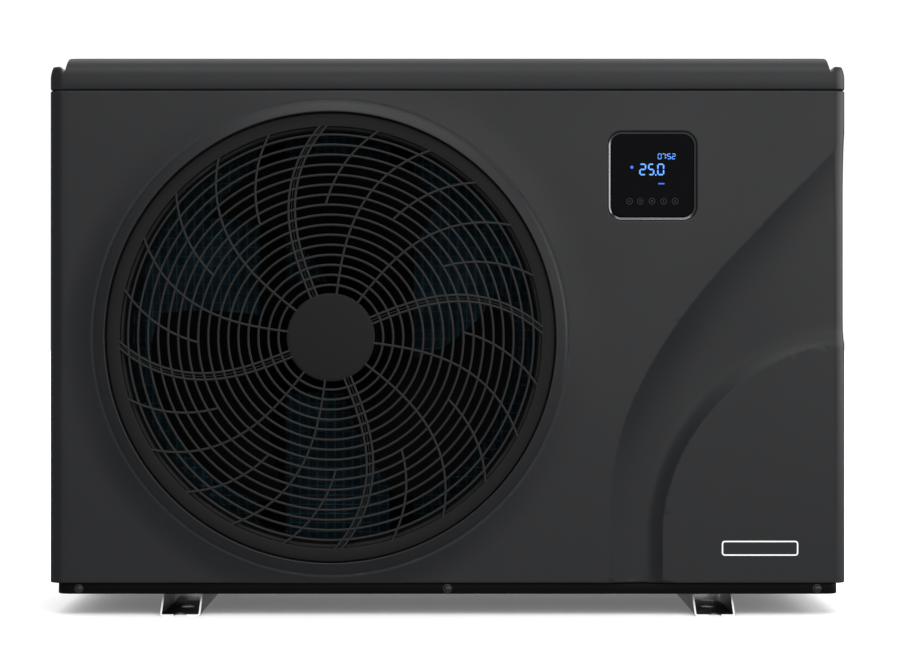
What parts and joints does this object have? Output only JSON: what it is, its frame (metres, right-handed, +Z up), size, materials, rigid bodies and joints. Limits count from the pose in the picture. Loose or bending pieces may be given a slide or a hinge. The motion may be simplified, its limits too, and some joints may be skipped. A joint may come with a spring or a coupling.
{
  "type": "pool heat pump unit",
  "caption": "Free-standing pool heat pump: dark moulded casing, round fan grille with swirled spokes, sweeping front recess, touch display, rear water unions.",
  "frame": {"origin": "centre of the overall box at floor level, under the middle of the unit", "axes": "+Z up, -Y out of the front face with the fan grille, +X to the right seen from the front"},
  "size_m": [0.9556, 0.406, 0.667],
  "materials": {
    "accumulator": "satin black paint",
    "badge_plate": "satin",
    "base_pan": "satin black paint",
    "cable_gland": "satin black",
    "coil_header": "bare copper",
    "compressor": "satin black paint",
    "compressor_foot_1": "matt",
    "compressor_foot_2": "matt",
    "compressor_foot_3": "matt",
    "control_box": "zinc plated",
    "cover_screw_left": "satin",
    "cover_screw_right": "satin",
    "discharge_pipe": "bare copper",
    "display_bezel": "satin paint",
    "display_board": "solder mask",
    "display_glass": "gloss black",
    "drain_spout": "satin black",
    "evaporator_coil": "blue coated fins",
    "expansion_valve": "bare brass",
    "fan_grille": "satin",
    "fan_impeller": "satin black",
    "fan_motor": "satin paint",
    "fan_nut": "satin",
    "fan_shaft": "satin",
    "fan_shroud": "satin black",
    "foot_left": "zinc plated",
    "foot_right": "zinc plated",
    "four_way_valve": "bare brass",
    "front_panel": "fine moulded grain",
    "gas_pipe": "bare copper",
    "gauge_body": "satin black",
    "gauge_dial": "matt",
    "gauge_glass": "clear",
    "gauge_needle": "satin",
    "grip_left": "satin black",
    "grip_right": "satin black",
    "heat_exchanger": "satin",
    "heat_sink": "extruded",
    "inlet_socket": "satin",
    "inlet_tail": "satin",
    "inlet_union_nut": "satin",
    "left_panel": "fine moulded grain",
    "liquid_pipe": "bare copper",
    "main_board": "solder mask",
    "motor_bracket": "zinc plated",
    "outlet_socket": "satin",
    "outlet_tail": "satin",
    "outlet_union_nut": "satin",
    "pan_screw_centre": "satin",
    "pan_screw_left": "satin",
    "pan_screw_right": "satin",
    "partition_plate": "zinc plated",
    "reactor": "bare copper",
    "rear_guard": "satin black",
    "rear_panel": "fine moulded grain",
    "right_panel": "fine moulded grain",
    "suction_pipe": "bare copper",
    "terminal_block": "satin black",
    "top_cover": "fine moulded grain",
    "wiring_cover": "fine moulded grain"
  },
  "bodies": {
    "casing": {"accumulator": "accumulator", "badge_plate": "badge_plate", "base_pan": "base_pan", "cable_gland": "cable_gland", "coil_header": "coil_header", "compressor": "compressor", "compressor_foot_1": "compressor_foot_1", "compressor_foot_2": "compressor_foot_2", "compressor_foot_3": "compressor_foot_3", "control_box": "control_box", "cover_screw_left": "cover_screw_left", "cover_screw_right": "cover_screw_right", "discharge_pipe": "discharge_pipe", "display_bezel": "display_bezel", "display_board": "display_board", "display_glass": "display_glass", "drain_spout": "drain_spout", "evaporator_coil": "evaporator_coil", "expansion_valve": "expansion_valve", "fan_grille": "fan_grille", "fan_motor": "fan_motor", "fan_shroud": "fan_shroud", "foot_left": "foot_left", "foot_right": "foot_right", "four_way_valve": "four_way_valve", "front_panel": "front_panel", "gas_pipe": "gas_pipe", "gauge_body": "gauge_body", "gauge_dial": "gauge_dial", "gauge_glass": "gauge_glass", "grip_left": "grip_left", "grip_right": "grip_right", "heat_exchanger": "heat_exchanger", "heat_sink": "heat_sink", "inlet_socket": "inlet_socket", "inlet_tail": "inlet_tail", "left_panel": "left_panel", "liquid_pipe": "liquid_pipe", "main_board": "main_board", "motor_bracket": "motor_bracket", "outlet_socket": "outlet_socket", "outlet_tail": "outlet_tail", "pan_screw_centre": "pan_screw_centre", "pan_screw_left": "pan_screw_left", "pan_screw_right": "pan_screw_right", "partition_plate": "partition_plate", "reactor": "reactor", "rear_guard": "rear_guard", "rear_panel": "rear_panel", "right_panel": "right_panel", "suction_pipe": "suction_pipe", "terminal_block": "terminal_block", "top_cover": "top_cover", "wiring_cover": "wiring_cover"},
    "rotor": {"fan_impeller": "fan_impeller", "fan_shaft": "fan_shaft", "fan_nut": "fan_nut"},
    "inlet_nut": {"inlet_union_nut": "inlet_union_nut"},
    "outlet_nut": {"outlet_union_nut": "outlet_union_nut"},
    "needle": {"gauge_needle": "gauge_needle"}
  },
  "joints": [
    {"name": "fan_spin", "type": "hinge", "parent": "casing", "child": "rotor", "pos_m": [-0.1395, -0.15, 0.332], "axis": [0, 1, 0], "continuous": true},
    {"name": "inlet_nut_turn", "type": "hinge", "parent": "casing", "child": "inlet_nut", "pos_m": [0.38, 0.178, 0.15], "axis": [0, 1, 0], "continuous": true},
    {"name": "outlet_nut_turn", "type": "hinge", "parent": "casing", "child": "outlet_nut", "pos_m": [0.38, 0.178, 0.41], "axis": [0, 1, 0], "continuous": true},
    {"name": "gauge_needle_turn", "type": "hinge", "parent": "casing", "child": "needle", "pos_m": [0.29, 0.155, 0.43], "axis": [0, -1, 0], "range_deg": [0, 270]}
  ]
}
